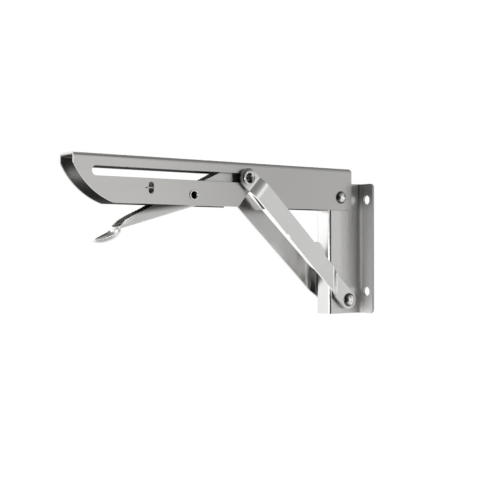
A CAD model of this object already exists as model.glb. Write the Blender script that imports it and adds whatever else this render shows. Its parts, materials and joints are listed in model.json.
import json
import math

import bmesh
import bpy
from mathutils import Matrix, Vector


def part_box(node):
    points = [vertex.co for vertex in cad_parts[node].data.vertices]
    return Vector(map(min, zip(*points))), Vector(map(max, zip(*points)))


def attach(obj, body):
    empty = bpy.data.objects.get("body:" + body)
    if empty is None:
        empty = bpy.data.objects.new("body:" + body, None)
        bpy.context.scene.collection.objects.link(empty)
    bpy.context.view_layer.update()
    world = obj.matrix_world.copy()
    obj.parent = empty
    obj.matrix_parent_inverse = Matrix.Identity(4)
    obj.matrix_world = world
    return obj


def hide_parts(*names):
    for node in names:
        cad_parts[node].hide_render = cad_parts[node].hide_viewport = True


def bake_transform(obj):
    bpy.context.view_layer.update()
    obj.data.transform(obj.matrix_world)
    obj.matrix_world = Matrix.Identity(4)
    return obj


# Folding shelf bracket in stainless steel: finishes, rolled rims and a white studio
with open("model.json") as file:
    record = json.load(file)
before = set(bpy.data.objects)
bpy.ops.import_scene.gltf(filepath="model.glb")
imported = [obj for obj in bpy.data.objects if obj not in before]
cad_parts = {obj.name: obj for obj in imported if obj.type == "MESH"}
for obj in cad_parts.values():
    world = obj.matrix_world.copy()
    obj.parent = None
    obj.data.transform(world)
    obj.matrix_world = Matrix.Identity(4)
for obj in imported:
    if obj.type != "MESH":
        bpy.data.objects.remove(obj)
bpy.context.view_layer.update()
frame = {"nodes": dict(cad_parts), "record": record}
nodes = frame["nodes"]
print("frame loaded,", len(nodes), "nodes")


# Small helpers for node trees

mixSockets = {"FLOAT": (2, 3, 0), "RGBA": (6, 7, 2)}    # a Mix node's first value, second value and result


def addNode(tree, kind, settings=None, values=None):
    node = tree.nodes.new(kind)
    for name, value in (settings or {}).items():
        setattr(node, name, value)
    for name, value in (values or {}).items():
        node.inputs[name].default_value = value
    return node


def join(tree, source, outlet, target, socket):
    tree.links.new(source.outputs[outlet], target.inputs[socket])


def mapped(tree, source, outlet, span, ends, curve="LINEAR"):
    # Takes a value from the span to the two ends, and holds it there beyond them
    node = addNode(tree, "ShaderNodeMapRange", {"interpolation_type": curve},
                   {"From Min": span[0], "From Max": span[1], "To Min": ends[0], "To Max": ends[1]})
    join(tree, source, outlet, node, "Value")
    return node


def product(tree, first, firstOutlet, second, secondOutlet):
    node = addNode(tree, "ShaderNodeMath", {"operation": "MULTIPLY"})
    join(tree, first, firstOutlet, node, 0)
    join(tree, second, secondOutlet, node, 1)
    return node


def measured(tree, source, outlet, way):
    # How far a place, or how squarely a direction, lies along a way
    node = addNode(tree, "ShaderNodeVectorMath", {"operation": "DOT_PRODUCT"}, {1: way})
    join(tree, source, outlet, node, 0)
    return node


def newMaterial(name):
    material = bpy.data.materials.new(name)
    material.use_nodes = True
    tree = material.node_tree
    tree.nodes.clear()
    surface = addNode(tree, "ShaderNodeBsdfPrincipled")
    output = addNode(tree, "ShaderNodeOutputMaterial")
    join(tree, surface, "BSDF", output, "Surface")
    return material, tree, surface


# Marks in the sheet

noiseLook = {"span": (0.3, 0.7), "roughness": 0.55, "grainDetail": 3.0, "cloudDetail": 2.0,
             "bumpDistance": 0.0001}
innerFade = 0.0012          # over which the dark inside of a channel or bore ends
facingSpan = (0.1, 0.4)     # how squarely a face looks along a zone's facing, from not at all to in full


def grainTexture(tree, stretch, detail):
    # Noise pulled out along one axis, so that it reads as rolling or brushing marks
    place = addNode(tree, "ShaderNodeTexCoord")
    mapping = addNode(tree, "ShaderNodeMapping", values={"Scale": stretch})
    noise = addNode(tree, "ShaderNodeTexNoise",
                    values={"Scale": 1.0, "Detail": detail, "Roughness": noiseLook["roughness"]})
    join(tree, place, "Object", mapping, "Vector")
    join(tree, mapping, "Vector", noise, "Vector")
    return noise


def insideShare(tree, apart, finish):
    # One in the channel or the bore, and zero outside it
    half = finish["innerHalf"]
    top = finish["innerTop"]
    across = addNode(tree, "ShaderNodeMath", {"operation": "ABSOLUTE"})
    join(tree, apart, "Y", across, 0)
    between = mapped(tree, across, "Value", (half, half + innerFade), (1, 0))
    below = mapped(tree, apart, "Z", (top, top + innerFade), (1, 0))
    return product(tree, between, "Result", below, "Result")


def zoneShare(tree, place, zone):
    # Goes from one to the zone's share along its way, on the faces that look to its side
    along = measured(tree, place, "Object", zone["way"])
    depth = mapped(tree, along, "Value", (zone["from"], zone["to"]), (0, 1), "SMOOTHSTEP")
    look = measured(tree, place, "Normal", zone["facing"])
    faced = mapped(tree, look, "Value", facingSpan, (0, 1), "SMOOTHSTEP")
    both = product(tree, depth, "Result", faced, "Result")
    return mapped(tree, both, "Value", (0, 1), (1, zone["share"]))


def shaded(colour, share):
    return (*[min(1, part * share) for part in colour], 1)


def scaledTone(tree, share):
    node = addNode(tree, "ShaderNodeVectorMath", {"operation": "SCALE"})
    join(tree, share, "Result", node, "Scale")
    return node


# Finishes

def satinSteel(name, finish):
    material, tree, surface = newMaterial(name)
    surface.inputs["Metallic"].default_value = 1.0
    place = addNode(tree, "ShaderNodeTexCoord")
    apart = addNode(tree, "ShaderNodeSeparateXYZ")
    join(tree, place, "Object", apart, "Vector")

    grain = grainTexture(tree, finish["grain"], noiseLook["grainDetail"])
    rough = mapped(tree, grain, "Fac", noiseLook["span"],
                   (finish["rough"] - finish["roughPlay"], finish["rough"] + finish["roughPlay"]))
    roughOutlet = "Result"
    if "dullRough" in finish:
        # Flanges and plain walls are duller than the polished part next to them
        first, second, result = mixSockets["FLOAT"]
        dull = mapped(tree, apart, "X", (finish["dullFrom"], finish["dullTo"]), (1, 0))
        both = addNode(tree, "ShaderNodeMix", {"data_type": "FLOAT"}, {second: finish["dullRough"]})
        join(tree, dull, "Result", both, 0)
        join(tree, rough, roughOutlet, both, first)
        rough = both
        roughOutlet = result
    join(tree, rough, roughOutlet, surface, "Roughness")

    first, second, outlet = mixSockets["RGBA"]
    cloud = grainTexture(tree, finish["cloud"], noiseLook["cloudDetail"])
    mottle = mapped(tree, cloud, "Fac", noiseLook["span"], (0, 1))
    tone = addNode(tree, "ShaderNodeMix", {"data_type": "RGBA"},
                   {first: shaded(finish["colour"], 1 - finish["tonePlay"]),
                    second: shaded(finish["colour"], 1 + finish["tonePlay"])})
    join(tree, mottle, "Result", tone, 0)
    if "innerShare" in finish:
        # The inside of a channel or a bore is darker
        inner = addNode(tree, "ShaderNodeMix", {"data_type": "RGBA"},
                        {second: shaded(finish["colour"], finish["innerShare"])})
        join(tree, insideShare(tree, apart, finish), "Value", inner, 0)
        join(tree, tone, outlet, inner, first)
        tone = inner
    for zone in finish.get("zones", ()):
        scaled = scaledTone(tree, zoneShare(tree, place, zone))
        join(tree, tone, outlet, scaled, 0)
        tone = scaled
        outlet = "Vector"
    join(tree, tone, outlet, surface, "Base Color")

    if "bump" in finish:
        bump = addNode(tree, "ShaderNodeBump",
                       values={"Strength": finish["bump"], "Distance": noiseLook["bumpDistance"]})
        join(tree, grain, "Fac", bump, "Height")
        join(tree, bump, "Normal", surface, "Normal")
    return material


def polishedSteel(name, finish):
    material, tree, surface = newMaterial(name)
    surface.inputs["Metallic"].default_value = 1.0
    surface.inputs["Base Color"].default_value = (*finish["colour"], 1)
    smear = grainTexture(tree, polishSmear["stretch"], noiseLook["cloudDetail"])
    blur = mapped(tree, smear, "Fac", noiseLook["span"],
                  (finish["rough"] * polishSmear["least"], finish["rough"] * polishSmear["most"]))
    join(tree, blur, "Result", surface, "Roughness")
    return material


def domedSteel(name, finish):
    # The steep rim of a domed head is darker than its polished crown
    material, tree, surface = newMaterial(name)
    surface.inputs["Metallic"].default_value = 1.0
    surface.inputs["Roughness"].default_value = finish["rough"]
    place = addNode(tree, "ShaderNodeTexCoord")
    lean = addNode(tree, "ShaderNodeSeparateXYZ")
    join(tree, place, "Normal", lean, "Vector")
    crown = addNode(tree, "ShaderNodeMath", {"operation": "ABSOLUTE"})
    join(tree, lean, "Y", crown, 0)
    share = mapped(tree, crown, "Value", (finish["rimTo"], finish["crownFrom"]),
                   (finish["rimShare"], 1), "SMOOTHSTEP")
    tint = scaledTone(tree, share)
    tint.inputs[0].default_value = finish["colour"]
    join(tree, tint, "Vector", surface, "Base Color")
    return material


def mouldedNylon(name, finish):
    material, tree, surface = newMaterial(name)
    surface.inputs["Base Color"].default_value = (*finish["colour"], 1)
    surface.inputs["Specular IOR Level"].default_value = finish["specular"]
    skin = grainTexture(tree, finish["skin"], noiseLook["cloudDetail"])
    blur = mapped(tree, skin, "Fac", noiseLook["span"],
                  (finish["rough"] - finish["roughPlay"], finish["rough"] + finish["roughPlay"]))
    join(tree, blur, "Result", surface, "Roughness")
    return material


# A zone runs between two values of the dot product of place and way, on the faces that look to its
# facing. Both are in the piece's own axes, and places are in metres
armFinish = {
    "colour": (0.53, 0.523, 0.51), "tonePlay": 0.02, "rough": 0.3, "roughPlay": 0.01,
    "grain": (40, 900, 900), "cloud": (12, 30, 30), "bump": 0.002,
    "innerShare": 0.45, "innerHalf": 0.0091, "innerTop": 0.0610,
}
bracketFinish = {
    "colour": (0.68, 0.675, 0.665), "tonePlay": 0.015, "rough": 0.28, "roughPlay": 0.01,
    "grain": (900, 900, 40), "cloud": (30, 30, 12), "bump": 0.002,
    "dullRough": 0.62, "dullFrom": 0.004, "dullTo": 0.009,
    "zones": [
        # Tops of the flanges, their lower parts (the steep X keeps off the web), and the side walls
        {"way": (0, 0, 1), "facing": (1, 0, 0), "from": 0.027, "to": 0.045, "share": 0.4},
        {"way": (-5, 0, -1), "facing": (1, 0, 0), "from": -0.03, "to": 0.03, "share": 1.25},
        {"way": (-1, 0, 0), "facing": (0, 1, 0), "from": -0.012, "to": -0.004, "share": 0.72},
        {"way": (-1, 0, 0), "facing": (0, -1, 0), "from": -0.012, "to": -0.004, "share": 0.72},
    ],
}
stripFinish = {
    "colour": (0.80, 0.797, 0.787), "tonePlay": 0.02, "rough": 0.22, "roughPlay": 0.02,
    "grain": (500, 900, 500), "cloud": (25, 25, 25), "bump": 0.002,
    "zones": [
        # Upper tab
        {"way": (0.787, 0, 0.616), "facing": (0, 1, 0), "from": 0.121, "to": 0.131, "share": 0.18},
    ],
}
farStripFinish = {
    "colour": (0.58, 0.575, 0.565), "tonePlay": 0.05, "rough": 0.24, "roughPlay": 0.03,
    "grain": (500, 900, 500), "cloud": (60, 60, 60), "bump": 0.002,
    "zones": [
        # Inner face of the foot
        {"way": (-1, 0, 0), "facing": (0, 1, 0), "from": -0.041, "to": -0.036, "share": 0.3},
    ],
}
leverFinish = {
    "colour": (0.62, 0.62, 0.61), "tonePlay": 0.02, "rough": 0.26, "roughPlay": 0.01,
    "grain": (400, 400, 400), "cloud": (25, 25, 25),
    "dullRough": 0.42, "dullFrom": 0.214, "dullTo": 0.222,
    "zones": [
        # Walls under the arm, and back to nearly their full tone within it
        {"way": (0.15, 0, 0.989), "facing": (0, 1, 0), "from": 0.0516, "to": 0.0566, "share": 0.12},
        {"way": (0.15, 0, 0.989), "facing": (0, 1, 0), "from": 0.0590, "to": 0.0625, "share": 8.0},
    ],
}
eyeletFinish = {
    "colour": (0.78, 0.78, 0.77), "tonePlay": 0.01, "rough": 0.09, "roughPlay": 0.02,
    "grain": (260, 260, 260), "cloud": (60, 60, 60),
    "innerShare": 0.07, "innerHalf": 0.0100, "innerTop": 0.2,
}
braceRivetFinish = {
    "colour": (0.74, 0.74, 0.73), "tonePlay": 0.01, "rough": 0.12, "roughPlay": 0.02,
    "grain": (260, 260, 260), "cloud": (60, 60, 60),
    "innerShare": 0.12, "innerHalf": 0.0140, "innerTop": 0.2,
}
polishSmear = {"stretch": (260, 260, 260), "least": 0.75, "most": 1.35}    # shares of the roughness
rivetFinish = {"colour": (0.78, 0.78, 0.77), "rough": 0.07}
collarFinish = {"colour": (0.3, 0.3, 0.3), "rough": 0.3}
springFinish = {"colour": (0.55, 0.55, 0.55), "rough": 0.25}
domeFinish = {"colour": (0.85, 0.85, 0.84), "rough": 0.14,
              "rimShare": 0.15, "rimTo": 0.74, "crownFrom": 0.90}
nylonFinish = {"colour": (0.012, 0.012, 0.012), "rough": 0.42, "roughPlay": 0.06, "specular": 0.35,
               "skin": (900, 900, 900)}

armSteel = satinSteel("armSteel", armFinish)
bracketSteel = satinSteel("bracketSteel", bracketFinish)
stripSteel = satinSteel("stripSteel", stripFinish)
farStripSteel = satinSteel("farStripSteel", farStripFinish)
leverSteel = satinSteel("leverSteel", leverFinish)
eyeletSteel = satinSteel("eyeletSteel", eyeletFinish)
braceRivetSteel = satinSteel("braceRivetSteel", braceRivetFinish)
rivetSteel = polishedSteel("rivetSteel", rivetFinish)
collarSteel = polishedSteel("collarSteel", collarFinish)
springSteel = polishedSteel("springSteel", springFinish)
domeSteel = domedSteel("domeSteel", domeFinish)
blackNylon = mouldedNylon("blackNylon", nylonFinish)
print("finishes made")


# Dressed copies of the CAD pieces: the same solids with smooth bends, most of them with broken edges

mending = {"merge": 2e-6, "flatDegrees": 0.08, "bendDegrees": 38}
edgeBreak = {"sheet": 0.00022, "rivet": 0.0001, "segments": 2}
drawnBowl = {"node": "release_lever", "beyond": 0.2175, "passes": 6, "strength": 0.5}
springTwist = {"node": "lever_spring", "hooked": "arm", "pressed": "lever", "half": 0.0015}


def relaxed(mesh):
    # Evens out the facets of the drawn bowl, and leaves its rim where it is
    rim = set()
    for edge in mesh.edges:
        if len(edge.link_faces) != 2 or edge.calc_face_angle() > math.radians(mending["bendDegrees"]):
            rim.update(edge.verts)
    inner = [v for v in mesh.verts if v.co.x > drawnBowl["beyond"] and v not in rim]
    for _ in range(drawnBowl["passes"]):
        bmesh.ops.smooth_vert(mesh, verts=inner, factor=drawnBowl["strength"],
                              use_axis_x=True, use_axis_y=True, use_axis_z=True)


def mended(data, node):
    # Merges the loose triangles, and makes one face of those that lie in one plane
    mesh = bmesh.new()
    mesh.from_mesh(data)
    bmesh.ops.remove_doubles(mesh, verts=mesh.verts, dist=mending["merge"])
    if node == drawnBowl["node"]:
        relaxed(mesh)
    bmesh.ops.dissolve_limit(mesh, angle_limit=math.radians(mending["flatDegrees"]),
                             verts=mesh.verts, edges=mesh.edges)
    mesh.to_mesh(data)
    mesh.free()


def breakEdges(piece, width):
    bevel = piece.modifiers.new("brokenEdge", "BEVEL")
    bevel.width = width
    bevel.segments = edgeBreak["segments"]
    bevel.limit_method = "ANGLE"
    bevel.angle_limit = math.radians(mending["bendDegrees"])
    bevel.harden_normals = True
    bevel.use_clamp_overlap = True
    normals = piece.modifiers.new("faceNormals", "WEIGHTED_NORMAL")
    normals.keep_sharp = True


def dressed(node, body, material, edge):
    piece = bpy.data.objects.new(node + "_dressed", nodes[node].data.copy())
    bpy.context.scene.collection.objects.link(piece)
    mended(piece.data, node)
    piece.data.materials.clear()
    piece.data.materials.append(material)
    piece.data.shade_smooth()
    piece.data.set_sharp_from_angle(angle=math.radians(mending["bendDegrees"]))
    if edge:
        breakEdges(piece, edge)
    if node == springTwist["node"]:
        # One leg stays hooked in the arm, the other turns with the lever,
        # and the coil winds between them
        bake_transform(piece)
    else:
        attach(piece, body)
    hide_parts(node)


# Each piece's finish and how wide its edges are broken: those not named here have the rivets' polish
finishOf = {
    "wall_bracket": (bracketSteel, edgeBreak["sheet"]),
    "support_arm": (armSteel, edgeBreak["sheet"]),
    "brace_strip_right": (stripSteel, edgeBreak["sheet"]),
    "brace_strip_left": (farStripSteel, edgeBreak["sheet"]),
    "release_lever": (leverSteel, 0),
    "lever_eyelet": (eyeletSteel, edgeBreak["rivet"]),
    "lever_spring": (springSteel, 0),
    "hinge_rivet": (domeSteel, edgeBreak["rivet"]),
    "foot_rivet": (domeSteel, edgeBreak["rivet"]),
}
for side in ("right", "left"):
    finishOf["brace_rivet_" + side] = (braceRivetSteel, edgeBreak["rivet"])
    finishOf["slide_shoe_" + side] = (blackNylon, edgeBreak["rivet"])
    finishOf["slide_stud_" + side] = (collarSteel, edgeBreak["rivet"])
    finishOf["slide_collar_" + side] = (collarSteel, edgeBreak["rivet"])
bodies = frame["record"]["behaviour"]["bodies"]
bodyOf = {name: body for body, members in bodies.items() for name in members}
for name in sorted(nodes):
    material, edge = finishOf.get(name, (rivetSteel, edgeBreak["rivet"]))
    nodes[name].data.materials.clear()
    nodes[name].data.materials.append(material)
    dressed(name, bodyOf[name], material, edge)
print("CAD pieces dressed")


# Rolled rims of the hollow rivets and the eyelet, made by one Geometry Nodes tree

rimSteps = {"around": 48, "roll": 16}
rimSizes = {
    "braceRims": {"node": "brace_rivet_right", "body": "brace", "rimRadius": 0.0048, "rollRadius": 0.00072},
    "eyeletRims": {"node": "lever_eyelet", "body": "arm", "rimRadius": 0.0033, "rollRadius": 0.00062},
}


def rimTree(material):
    # A rim round the Y axis on each side of the centre
    tree = bpy.data.node_groups.new("rolledRims", "GeometryNodeTree")
    for label, kind in (("Centre", "NodeSocketVector"), ("Rim Radius", "NodeSocketFloat"),
                        ("Roll Radius", "NodeSocketFloat"), ("Half Reach", "NodeSocketFloat")):
        tree.interface.new_socket(name=label, in_out="INPUT", socket_type=kind)
    tree.interface.new_socket(name="Geometry", in_out="OUTPUT", socket_type="NodeSocketGeometry")
    inputs = addNode(tree, "NodeGroupInput")
    outputs = addNode(tree, "NodeGroupOutput")
    ring = addNode(tree, "GeometryNodeCurvePrimitiveCircle", values={"Resolution": rimSteps["around"]})
    roll = addNode(tree, "GeometryNodeCurvePrimitiveCircle", values={"Resolution": rimSteps["roll"]})
    join(tree, inputs, "Rim Radius", ring, "Radius")
    join(tree, inputs, "Roll Radius", roll, "Radius")
    rim = addNode(tree, "GeometryNodeCurveToMesh")
    join(tree, ring, "Curve", rim, "Curve")
    join(tree, roll, "Curve", rim, "Profile Curve")
    smooth = addNode(tree, "GeometryNodeSetShadeSmooth")
    join(tree, rim, "Mesh", smooth, "Geometry")
    turn = addNode(tree, "GeometryNodeTransform", values={"Rotation": (math.pi / 2, 0, 0)})
    join(tree, smooth, "Geometry", turn, "Geometry")
    reach = addNode(tree, "ShaderNodeCombineXYZ")
    join(tree, inputs, "Half Reach", reach, "Y")
    start = addNode(tree, "ShaderNodeVectorMath", {"operation": "SUBTRACT"})
    join(tree, inputs, "Centre", start, 0)
    join(tree, reach, "Vector", start, 1)
    span = addNode(tree, "ShaderNodeVectorMath", {"operation": "SCALE"}, {"Scale": 2.0})
    join(tree, reach, "Vector", span, 0)
    pair = addNode(tree, "GeometryNodeMeshLine", {"mode": "OFFSET"}, {"Count": 2})
    join(tree, start, "Vector", pair, "Start Location")
    join(tree, span, "Vector", pair, "Offset")
    placed = addNode(tree, "GeometryNodeInstanceOnPoints")
    join(tree, pair, "Mesh", placed, "Points")
    join(tree, turn, "Geometry", placed, "Instance")
    real = addNode(tree, "GeometryNodeRealizeInstances")
    join(tree, placed, "Instances", real, "Geometry")
    painted = addNode(tree, "GeometryNodeSetMaterial", values={"Material": material})
    join(tree, real, "Geometry", painted, "Geometry")
    join(tree, painted, "Geometry", outputs, "Geometry")
    return tree


def bakedTree(name, tree, sizes):
    # Runs a tree with these inputs and keeps its result as a plain mesh
    holder = bpy.data.objects.new(name, bpy.data.meshes.new(name))
    bpy.context.scene.collection.objects.link(holder)
    modifier = holder.modifiers.new(name, "NODES")
    modifier.node_group = tree
    sockets = {item.name: item.identifier for item in tree.interface.items_tree if item.in_out == "INPUT"}
    for label, value in sizes.items():
        modifier[sockets[label]] = value
    bpy.context.view_layer.update()
    graph = bpy.context.evaluated_depsgraph_get()
    made = bpy.data.meshes.new_from_object(holder.evaluated_get(graph))
    holder.modifiers.clear()
    holder.data = made
    return holder


rims = rimTree(rivetSteel)
for label, size in rimSizes.items():
    low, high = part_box(size["node"])
    centre = ((low.x + high.x) / 2, 0.0, (low.z + high.z) / 2)
    rimPair = bakedTree(label, rims, {
        "Centre": centre, "Rim Radius": size["rimRadius"], "Roll Radius": size["rollRadius"],
        "Half Reach": high.y - size["rollRadius"]})
    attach(rimPair, size["body"])
print("rolled rims made")


# Studio: white to the camera, with paler and darker sides for the steel to mirror

aim = (0.12, 0.0, 0.0)                      # middle of the open bracket
studio = {
    "ambient": 0.55,                        # what dull pieces receive
    "backdropWay": (0.0, -1.0, 0.0),        # towards the white backdrop
    "backdropSpan": (-0.75, 0.1),
    "mirrorNear": 0.64,                     # what steel mirrors beside it
    "mirrorFar": 1.15,                      # and in the backdrop itself
    "darkWay": (0.59, 0.81, 0.0),           # towards the unlit room
    "darkSpan": (0.62, 0.92), "darkShare": 0.08,
    "mirrorTop": 0.3,                       # share that is left straight above
    "topSpan": (0.15, 0.8),
    "mirrorFloor": 1.2,                     # and straight below
    "floorSpan": (-0.8, -0.1),
}
floorDisc = {"drop": 0.36, "radius": 0.55, "corners": 96, "colour": (0.86, 0.86, 0.86), "rough": 0.9,
             "fadeFrom": 0.35, "fadeTo": 0.95}    # shares of the radius
softBoxes = {
    "boxFront": {"place": (0.82, -0.72, 0.36), "wide": 0.5, "tall": 0.7, "glow": 0.9},
    "boxAbove": {"place": (0.1, -0.1, 1.1), "wide": 0.7, "tall": 0.5, "glow": 0.6},
    "boxSide": {"place": (-0.3, 1.05, 0.05), "wide": 0.3, "tall": 0.9, "glow": 0.55},
    "boxFlange": {"place": (1.1, 0.12, -0.15), "wide": 0.3, "tall": 0.5, "glow": 5.5},
    "boxWall": {"place": (-0.82, 0.62, 0.0), "wide": 0.09, "tall": 0.4, "glow": 2.5},
    "boxBack": {"place": (-0.35, -0.9, 0.5), "wide": 0.9, "tall": 0.7, "glow": 1.6},
}


def mirroredTone(tree):
    # What a mirror shows of the studio, by the direction it looks in
    place = addNode(tree, "ShaderNodeTexCoord")
    backdrop = measured(tree, place, "Generated", studio["backdropWay"])
    room = measured(tree, place, "Generated", studio["darkWay"])
    height = addNode(tree, "ShaderNodeSeparateXYZ")
    join(tree, place, "Generated", height, "Vector")
    tone = mapped(tree, backdrop, "Value", studio["backdropSpan"],
                  (studio["mirrorNear"], studio["mirrorFar"]), "SMOOTHSTEP")
    outlet = "Result"
    for source, sourceOutlet, span, ends in (
            (room, "Value", studio["darkSpan"], (1.0, studio["darkShare"])),
            (height, "Z", studio["topSpan"], (1.0, studio["mirrorTop"])),
            (height, "Z", studio["floorSpan"], (studio["mirrorFloor"], 1.0))):
        share = mapped(tree, source, sourceOutlet, span, ends, "SMOOTHSTEP")
        tone = product(tree, tone, outlet, share, "Result")
        outlet = "Value"
    return tone


def studioWorld():
    world = bpy.data.worlds.new("whiteStudio")
    bpy.context.scene.world = world
    world.use_nodes = True
    tree = world.node_tree
    tree.nodes.clear()
    first, second, result = mixSockets["FLOAT"]
    path = addNode(tree, "ShaderNodeLightPath")
    glossy = addNode(tree, "ShaderNodeMix", {"data_type": "FLOAT"}, {first: studio["ambient"]})
    join(tree, path, "Is Glossy Ray", glossy, 0)
    join(tree, mirroredTone(tree), "Value", glossy, second)
    seen = addNode(tree, "ShaderNodeMix", {"data_type": "FLOAT"}, {second: 1.0})
    join(tree, path, "Is Camera Ray", seen, 0)
    join(tree, glossy, result, seen, first)
    sky = addNode(tree, "ShaderNodeBackground", values={"Color": (1, 1, 1, 1)})
    join(tree, seen, result, sky, "Strength")
    output = addNode(tree, "ShaderNodeOutputWorld")
    join(tree, sky, "Background", output, "Surface")


def studioFloor():
    # A pale disc below the view that fades into the white
    radius = floorDisc["radius"]
    bpy.ops.mesh.primitive_circle_add(vertices=floorDisc["corners"], radius=radius, fill_type="NGON",
                                      location=(aim[0], 0, -floorDisc["drop"]))
    floor = bpy.context.object
    floor.name = "studioFloor"
    material, tree, surface = newMaterial("paleFloor")
    surface.inputs["Base Color"].default_value = (*floorDisc["colour"], 1)
    surface.inputs["Roughness"].default_value = floorDisc["rough"]
    place = addNode(tree, "ShaderNodeTexCoord")
    middle = addNode(tree, "ShaderNodeVectorMath", {"operation": "LENGTH"})
    join(tree, place, "Object", middle, 0)
    fade = mapped(tree, middle, "Value", (radius * floorDisc["fadeFrom"], radius * floorDisc["fadeTo"]),
                  (0, 1), "SMOOTHSTEP")
    clear = addNode(tree, "ShaderNodeBsdfTransparent")
    mix = addNode(tree, "ShaderNodeMixShader")
    join(tree, fade, "Result", mix, 0)
    join(tree, surface, "BSDF", mix, 1)
    join(tree, clear, "BSDF", mix, 2)
    output = [n for n in tree.nodes if n.type == "OUTPUT_MATERIAL"][0]
    join(tree, mix, "Shader", output, "Surface")
    floor.data.materials.append(material)


def softBox(name, box):
    # Its power is worked out from how white the box looks in a mirror
    lamp = bpy.data.lights.new(name, "AREA")
    lamp.shape = "RECTANGLE"
    lamp.size = box["wide"]
    lamp.size_y = box["tall"]
    lamp.energy = box["glow"] * math.pi * box["wide"] * box["tall"]
    holder = bpy.data.objects.new(name, lamp)
    bpy.context.scene.collection.objects.link(holder)
    holder.location = box["place"]
    holder.rotation_mode = "QUATERNION"
    holder.rotation_quaternion = (Vector(aim) - Vector(box["place"])).to_track_quat("-Z", "Y")


studioWorld()
studioFloor()
for name, box in softBoxes.items():
    softBox(name, box)
print("studio set")


# Camera, solved from the photograph with the arm 250 mm long

cameraFit = {"place": (0.5632, 0.6205, -0.0049), "turn": 36.24, "tilt": 0.094,
             "focalPixels": 996.9, "framePixels": 500, "sensor": 36.0, "nearClip": 0.01}
lens = bpy.data.cameras.new("photoCamera")
lens.sensor_width = cameraFit["sensor"]
lens.lens = cameraFit["focalPixels"] / cameraFit["framePixels"] * lens.sensor_width
lens.clip_start = cameraFit["nearClip"]
photoCamera = bpy.data.objects.new("photoCamera", lens)
bpy.context.scene.collection.objects.link(photoCamera)
photoCamera.location = cameraFit["place"]
photoCamera.rotation_euler = (math.radians(90 + cameraFit["tilt"]), 0,
                              math.radians(180 - cameraFit["turn"]))
bpy.context.scene.camera = photoCamera
bpy.context.scene.view_settings.view_transform = "Standard"

print("sizes written")
